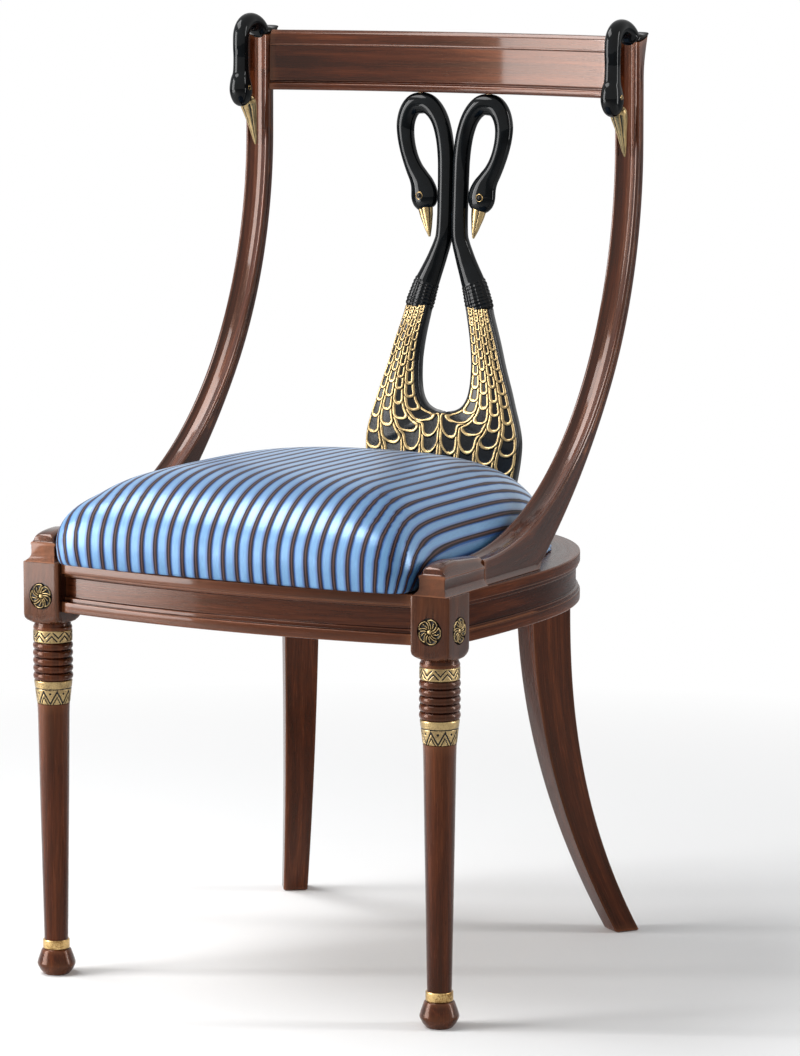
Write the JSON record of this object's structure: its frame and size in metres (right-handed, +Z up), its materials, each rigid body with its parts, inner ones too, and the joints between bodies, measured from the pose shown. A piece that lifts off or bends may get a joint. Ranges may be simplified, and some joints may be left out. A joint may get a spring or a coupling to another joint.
{
  "type": "klismos chair",
  "caption": "Dining chair with a bowed seat rail, turned front legs, sabre rear legs, swept posts with swan necks, a pierced splat carved as swans and a domed striped seat pad",
  "frame": {"origin": "on the floor, under the middle of the chair's bounding box", "axes": "+X to the sitter's left, which is the right seen from the front, +Y from the front of the seat to the back, +Z up"},
  "size_m": [0.4716, 0.487, 0.9211],
  "materials": {
    "mahogany": "polished reddish brown mahogany",
    "ebonised_wood": "polished black, with gilt beaks and feathers",
    "gilding": "gilt over carved or turned ground",
    "striped_satin": "blue satin with fine dark and tan stripes",
    "beech": "plain unfinished wood",
    "screw_steel": "plain steel"
  },
  "bodies": {
    "root": {"right_front_leg": "mahogany", "left_front_leg": "mahogany", "right_upper_gilt_band": "gilding", "left_upper_gilt_band": "gilding", "right_lower_gilt_band": "gilding", "left_lower_gilt_band": "gilding", "right_ankle_ring": "gilding", "left_ankle_ring": "gilding", "right_front_rosette": "gilding", "left_front_rosette": "gilding", "right_side_rosette": "gilding", "left_side_rosette": "gilding", "right_rear_leg": "mahogany", "left_rear_leg": "mahogany", "front_rail": "mahogany", "right_side_rail": "mahogany", "left_side_rail": "mahogany", "back_rail": "mahogany", "right_front_corner_block": "beech", "left_front_corner_block": "beech", "right_rear_corner_block": "beech", "left_rear_corner_block": "beech", "right_front_cap": "mahogany", "left_front_cap": "mahogany", "right_back_post": "mahogany", "left_back_post": "mahogany", "right_post_swan": "ebonised_wood", "left_post_swan": "ebonised_wood", "crest_rail": "mahogany", "swan_splat": "ebonised_wood", "seat_board": "beech", "seat_cushion": "striped_satin", "right_front_block_front_screw": "screw_steel", "left_front_block_front_screw": "screw_steel", "right_front_block_side_screw": "screw_steel", "left_front_block_side_screw": "screw_steel", "right_rear_block_side_screw": "screw_steel", "left_rear_block_side_screw": "screw_steel", "right_rear_block_back_screw": "screw_steel", "left_rear_block_back_screw": "screw_steel", "right_front_seat_screw": "screw_steel", "left_front_seat_screw": "screw_steel", "right_rear_seat_screw": "screw_steel", "left_rear_seat_screw": "screw_steel", "right_cap_dowel": "beech", "left_cap_dowel": "beech", "right_post_dowel": "beech", "left_post_dowel": "beech", "right_crest_dowel": "beech", "left_crest_dowel": "beech", "right_swan_dowel": "beech", "left_swan_dowel": "beech", "right_splat_crest_dowel": "beech", "left_splat_crest_dowel": "beech", "right_splat_rail_dowel": "beech", "left_splat_rail_dowel": "beech"}
  },
  "joints": []
}
